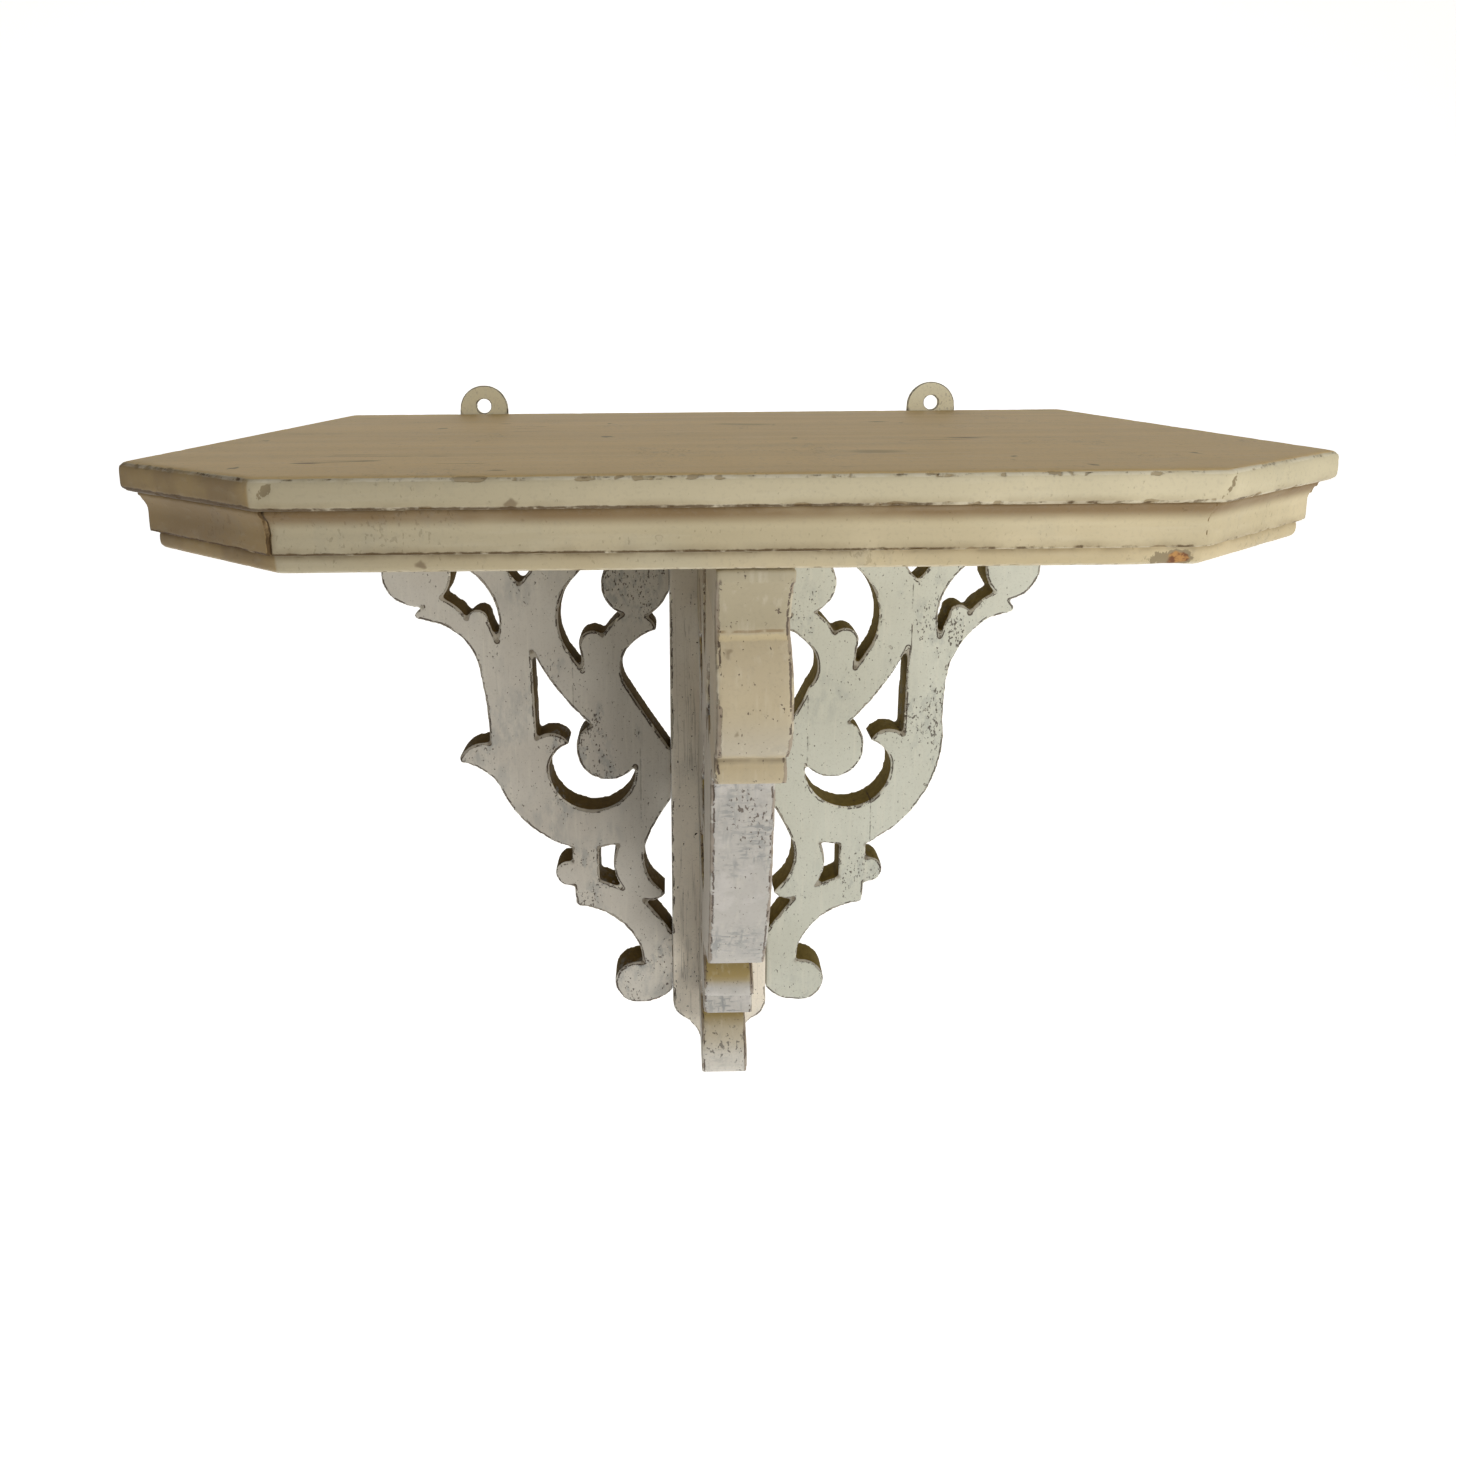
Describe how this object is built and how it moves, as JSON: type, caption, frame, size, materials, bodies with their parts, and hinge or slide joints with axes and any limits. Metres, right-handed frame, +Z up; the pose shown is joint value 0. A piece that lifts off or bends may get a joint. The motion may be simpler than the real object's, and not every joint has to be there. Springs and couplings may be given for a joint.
{
  "type": "wall shelf with brackets",
  "caption": "Painted wooden wall console: canted, moulded top on fret-sawn side wings and a pierced centre bracket, with metal hanging plates.",
  "frame": {"origin": "midway between the centres of the two hanging holes, on the wall plane", "axes": "+X along the shelf, to the right of a person facing it; +Y into the wall; +Z up"},
  "size_m": [0.603, 0.26, 0.629],
  "materials": {
    "top_paint": "satin",
    "moulding_paint": "satin",
    "fret_paint": "satin",
    "bare_wood": "matte",
    "plate_paint": "satin",
    "screw_steel": "satin"
  },
  "bodies": {
    "root": {"top_board": "top_paint", "front_moulding": "moulding_paint", "left_cant_moulding": "moulding_paint", "right_cant_moulding": "moulding_paint", "left_side_moulding": "moulding_paint", "right_side_moulding": "moulding_paint", "under_board": "moulding_paint", "back_rail": "bare_wood", "centre_batten": "bare_wood", "back_post": "fret_paint", "left_wing": "fret_paint", "right_wing": "fret_paint", "centre_bracket": "fret_paint", "glue_blocks": "fret_paint", "left_hanging_plate": "plate_paint", "right_hanging_plate": "plate_paint", "hanging_plate_screws": "screw_steel", "clamp_screws": "screw_steel", "cap_screws": "screw_steel", "post_screws": "screw_steel", "wing_dowels": "bare_wood", "mitre_pins": "screw_steel"}
  },
  "joints": []
}
